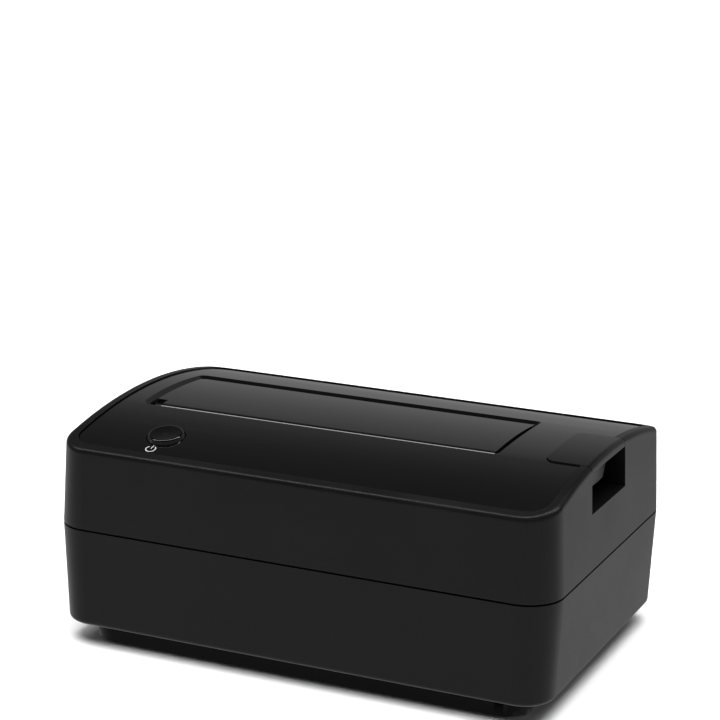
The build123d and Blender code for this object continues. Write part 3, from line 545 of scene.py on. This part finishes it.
def power_symbol():
    """The symbol printed on the panel beside the button."""
    sweep = RING_END - RING_START
    angles = [math.radians(RING_START + sweep * step / RING_STEPS) for step in range(RING_STEPS + 1)]
    ring = [(RING_RADIUS * math.cos(angle), RING_RADIUS * math.sin(angle)) for angle in angles]
    vertices = []
    faces = []
    for points in (ring, STEM_POINTS):
        print_stroke(points, vertices, faces)
    mesh = bpy.data.meshes.new("power_symbol")
    mesh.from_pydata(vertices, [], faces)
    mesh.validate()
    mesh.materials.append(ink)
    piece = in_scene("power_symbol", mesh)
    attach(piece, "housing")


power_symbol()


# Floor
FLOOR_HALF = 30.0
FLOOR_PAINT = (0.88, 0.88, 0.88, 1)


def pale_floor(half):
    """Plain pale floor, far wider than the camera sees."""
    paint = bpy.data.materials.new("floor_paint")
    paint.use_nodes = True
    fill(paint.node_tree.nodes["Principled BSDF"], Base_Color=FLOOR_PAINT, Roughness=0.7)
    mesh = bpy.data.meshes.new("floor")
    spots = [(-half, -half, 0), (half, -half, 0), (half, half, 0), (-half, half, 0)]
    mesh.from_pydata(spots, [], [(0, 1, 2, 3)])
    mesh.materials.append(paint)
    floor = in_scene("floor", mesh)
    floor.visible_glossy = False


pale_floor(FLOOR_HALF)


# Lights
def soft_sun(energy, spread, azimuth, elevation):
    """Large soft light far away, seen at an azimuth and elevation from the object."""
    data = bpy.data.lights.new("key", "SUN")
    data.energy = energy
    data.angle = math.radians(spread)
    light = in_scene("key", data)
    light.rotation_euler = (math.radians(90 - elevation), 0, math.radians(azimuth))
    light.visible_glossy = False


def strip_light(watts, length, width, target, azimuth, elevation, distance):
    """Long softbox that faces a point, lying level and square to its azimuth."""
    data = bpy.data.lights.new("strip", "AREA")
    data.shape = "RECTANGLE"
    data.size = length
    data.size_y = width
    data.energy = watts
    light = in_scene("strip", data)
    tilt = math.radians(90 - elevation)
    heading = math.radians(azimuth)
    level = math.sin(tilt)
    away = Vector((math.sin(heading) * level, -math.cos(heading) * level, math.cos(tilt)))
    light.location = Vector(target) + away * distance
    light.rotation_euler = (tilt, 0, heading)


soft_sun(energy=4.3, spread=45, azimuth=24, elevation=70)
strip_light(
    watts=14, length=2.4, width=0.20, target=(0, 0, 0.05), azimuth=24.2, elevation=103, distance=1.1
)


# Surroundings, as grey levels by height above the horizon and by nearness to straight behind
GREYS_ABOVE = [(0.0, 0.29), (0.36, 0.28), (0.50, 0.11), (0.66, 0.06), (1.0, 0.05)]
GREYS_BELOW = [(0.0, 1.08), (0.35, 1.08), (0.72, 0.82), (0.9, 0.30), (1.0, 0.26)]
BEHIND = (-0.31, 0.95, 0.0)
HORIZON = (-0.04, 0.03)


def grey_ramp(tree, value, greys):
    """A smooth ramp of greys."""
    stops = [(place, (grey, grey, grey)) for place, grey in greys]
    return add_ramp(tree, value, stops, "B_SPLINE")


def studio_world():
    """Soft surroundings: a bright floor in front, a grey room behind, dark overhead."""
    world = bpy.data.worlds.new("studio")
    world.use_nodes = True
    tree = world.node_tree
    background = tree.nodes["Background"]
    heading = add_node(tree, "ShaderNodeTexCoord").outputs["Generated"]
    split = add_node(tree, "ShaderNodeSeparateXYZ")
    tree.links.new(heading, split.inputs[0])
    above = grey_ramp(tree, split.outputs["Z"], GREYS_ABOVE)
    behind = add_node(tree, "ShaderNodeVectorMath", operation="DOT_PRODUCT")
    behind.inputs[1].default_value = BEHIND
    tree.links.new(heading, behind.inputs[0])
    below = grey_ramp(tree, behind.outputs["Value"], GREYS_BELOW)
    level = add_node(tree, "ShaderNodeMapRange", interpolation_type="SMOOTHSTEP")
    fill(level, From_Min=HORIZON[0], From_Max=HORIZON[1])
    tree.links.new(split.outputs["Z"], level.inputs["Value"])
    mixed = add_node(tree, "ShaderNodeMixRGB")
    tree.links.new(level.outputs[0], mixed.inputs["Fac"])
    tree.links.new(below, mixed.inputs["Color1"])
    tree.links.new(above, mixed.inputs["Color2"])
    tree.links.new(mixed.outputs[0], background.inputs["Color"])
    fill(background, Strength=1.0)
    bpy.context.scene.world = world


studio_world()


# The camera, fitted to the photograph: angles in degrees, lens and sensor in millimetres
CAMERA_PLACE = (0.255710, -0.573445, 0.246537)
CAMERA_AZIMUTH = 24.2139
CAMERA_ELEVATION = 14.7558
CAMERA_ROLL = 0.9446
LENS = 114.374
SENSOR = 36.0
NEAREST, FARTHEST = 0.01, 20.0


def photo_camera():
    """The camera of the photograph, with its small roll."""
    data = bpy.data.cameras.new("camera")
    data.sensor_width = SENSOR
    data.lens = LENS
    data.clip_start = NEAREST
    data.clip_end = FARTHEST
    camera = in_scene("camera", data)
    azimuth, elevation, roll = map(math.radians, (CAMERA_AZIMUTH, CAMERA_ELEVATION, CAMERA_ROLL))
    level = math.cos(elevation)
    ahead = Vector((-math.sin(azimuth) * level, math.cos(azimuth) * level, -math.sin(elevation)))
    right = Vector((math.cos(azimuth), math.sin(azimuth), 0))
    up = right.cross(ahead)
    right_rolled = math.cos(roll) * right + math.sin(roll) * up
    up_rolled = -math.sin(roll) * right + math.cos(roll) * up
    facing = Matrix((right_rolled, up_rolled, -ahead)).transposed().to_4x4()
    camera.matrix_world = Matrix.Translation(Vector(CAMERA_PLACE)) @ facing
    bpy.context.scene.camera = camera


photo_camera()
bpy.context.scene.view_settings.view_transform = "Standard"
